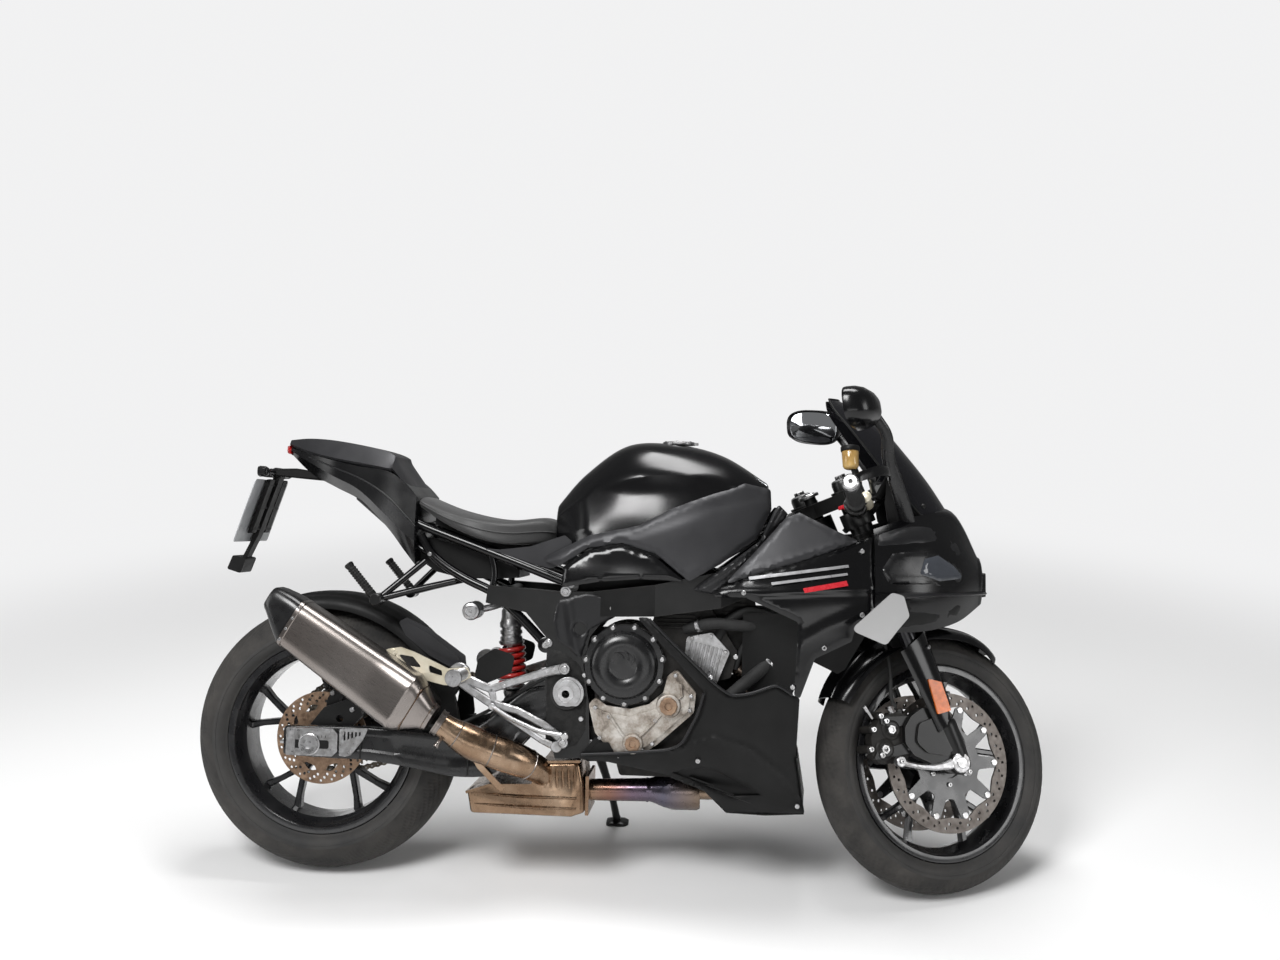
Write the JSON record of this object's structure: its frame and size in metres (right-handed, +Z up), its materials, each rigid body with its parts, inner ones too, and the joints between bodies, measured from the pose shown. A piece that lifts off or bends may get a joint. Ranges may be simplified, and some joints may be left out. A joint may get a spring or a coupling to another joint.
{
  "type": "sport bike",
  "caption": "Fully faired sport motorcycle leaning on its side stand: wheels turn, the fork steers, the stand and the fuel cap swing.",
  "frame": {"origin": "on the floor under the middle of the parked machine, halfway along and halfway across its bounding box", "axes": "+X forwards along the rear wheel's track, +Y to the machine's left, the side it leans to, +Z up"},
  "size_m": [2.0548, 0.7949, 1.2071],
  "materials": {
    "gloss_black": "deep gloss lacquer",
    "gloss_panel": "deep gloss lacquer on moulded panels",
    "matte_black": "fine moulded grain",
    "matte_grey": "matte dark grey paint",
    "black_metal": "satin black coating",
    "wheel_black": "satin black powder coat",
    "tyre": "worn road rubber with dust",
    "disc_steel": "turned and heat tinted",
    "chain_steel": "oiled links",
    "bright_steel": "fine brushed",
    "slider_chrome": "polished",
    "cast_alloy": "bead blasted casting",
    "bright_alloy": "machined and anodised",
    "titanium": "brushed, brown heat tint",
    "hot_pipe": "straw and blue heat tint",
    "rubber": "soft moulded rubber",
    "seat_cover": "grained vinyl",
    "plate_white": "painted sheet",
    "lamp_red": "clear red moulding",
    "lamp_amber": "clear amber moulding",
    "lens": "clear moulded lens",
    "screen": "dark smoked screen",
    "spring_red": "gloss powder coat",
    "core": "black finned core"
  },
  "bodies": {
    "chassis": {"frame": "black_metal", "subframe": "black_metal", "passenger_pegs": "bright_alloy", "swingarm": "black_metal", "swingarm_pivot": "bright_steel", "rear_axle": "bright_steel", "chain_adjusters": "bright_alloy", "rear_caliper": "black_metal", "shock_absorber": "bright_alloy", "shock_spring": "spring_red", "rear_hugger": "matte_black", "chain": "chain_steel", "engine": "cast_alloy", "clutch_cover": "gloss_black", "engine_covers": "cast_alloy", "exhaust_pipes": "hot_pipe", "silencer": "titanium", "silencer_cap": "matte_black", "silencer_hanger": "bright_alloy", "tank": "gloss_black", "tank_side_covers": "matte_grey", "knee_panels": "gloss_panel", "rider_seat": "seat_cover", "seat_tray": "matte_black", "passenger_cowl": "gloss_panel", "tail_fairing": "gloss_panel", "tail_light": "lamp_red", "plate_holder": "matte_black", "number_plate": "plate_white", "rear_indicators": "lamp_amber", "fairing_sides": "gloss_panel", "belly_pan": "gloss_panel", "nose_fairing": "gloss_panel", "headlight_lenses": "lens", "winglets": "gloss_panel", "windscreen": "screen", "display": "matte_black", "mirrors": "gloss_panel", "front_stay": "black_metal", "radiator": "core", "footrests": "bright_alloy"},
    "steering": {"fork_outer_tubes": "black_metal", "fork_inner_tubes": "slider_chrome", "fork_feet": "bright_alloy", "fork_clamps": "black_metal", "clip_ons": "black_metal", "grips": "rubber", "hand_controls": "black_metal", "front_mudguard": "gloss_panel", "front_calipers": "black_metal", "front_axle": "bright_steel"},
    "front_wheel": {"front_rim": "wheel_black", "front_tyre": "tyre", "front_discs": "disc_steel"},
    "rear_wheel": {"rear_rim": "wheel_black", "rear_tyre": "tyre", "rear_disc": "disc_steel", "rear_sprocket": "chain_steel"},
    "side_stand": {"side_stand": "black_metal"},
    "fuel_cap": {"fuel_cap": "bright_alloy"}
  },
  "joints": [
    {"name": "steering_turn", "type": "hinge", "parent": "chassis", "child": "steering", "pos_m": [0.52629, -0.05795, 0.72356], "axis": [-0.3955, 0.2061, 0.895], "range_deg": [-52, 0]},
    {"name": "front_wheel_spin", "type": "hinge", "parent": "steering", "child": "front_wheel", "pos_m": [0.74772, -0.14649, 0.28302], "axis": [-0.4037, 0.8363, -0.371], "continuous": true},
    {"name": "rear_wheel_spin", "type": "hinge", "parent": "chassis", "child": "rear_wheel", "pos_m": [-0.70647, -0.15374, 0.31534], "axis": [-0.0012, 0.9744, -0.2249], "continuous": true},
    {"name": "side_stand_swing", "type": "hinge", "parent": "chassis", "child": "side_stand", "pos_m": [-0.06684, -0.01741, 0.24446], "axis": [0.1512, 0.9313, 0.3314], "range_deg": [0, 92]},
    {"name": "fuel_cap_lift", "type": "hinge", "parent": "chassis", "child": "fuel_cap", "pos_m": [0.18137, 0.0098, 1.01889], "axis": [-0.0012, 0.9744, -0.2249], "range_deg": [0, 95]}
  ]
}
